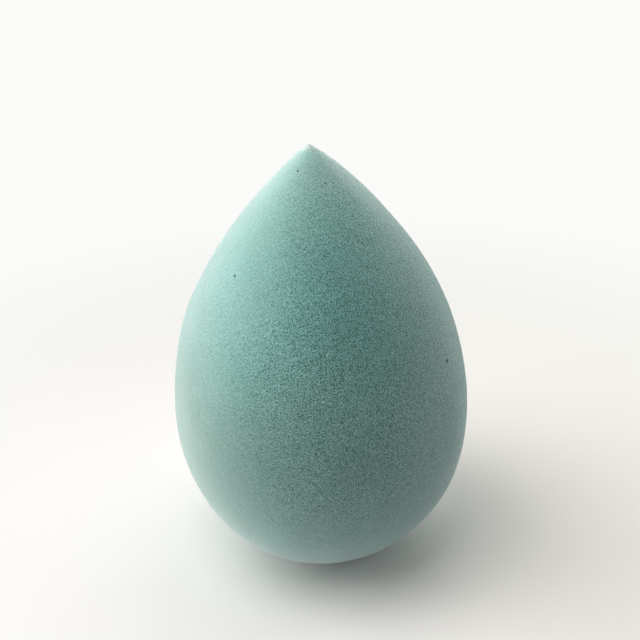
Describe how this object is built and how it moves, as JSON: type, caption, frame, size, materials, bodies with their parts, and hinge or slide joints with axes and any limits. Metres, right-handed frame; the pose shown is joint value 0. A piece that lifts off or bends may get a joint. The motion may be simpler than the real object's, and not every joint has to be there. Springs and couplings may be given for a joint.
{
  "type": "makeup sponge",
  "caption": "Teardrop makeup sponge of soft, fine-celled foam, round at the bottom and pointed at the top, standing on a small flat resting face.",
  "frame": {"origin": "centre of the flat resting face at the bottom of the round end", "axes": "+Z along the sponge's axis, from the resting face up to the point; X and Y are alike, because the shape is turned about Z"},
  "size_m": [0.04, 0.04, 0.06],
  "materials": {
    "foam": "matte"
  },
  "bodies": {
    "root": {"foam_sponge": "foam"}
  },
  "joints": []
}
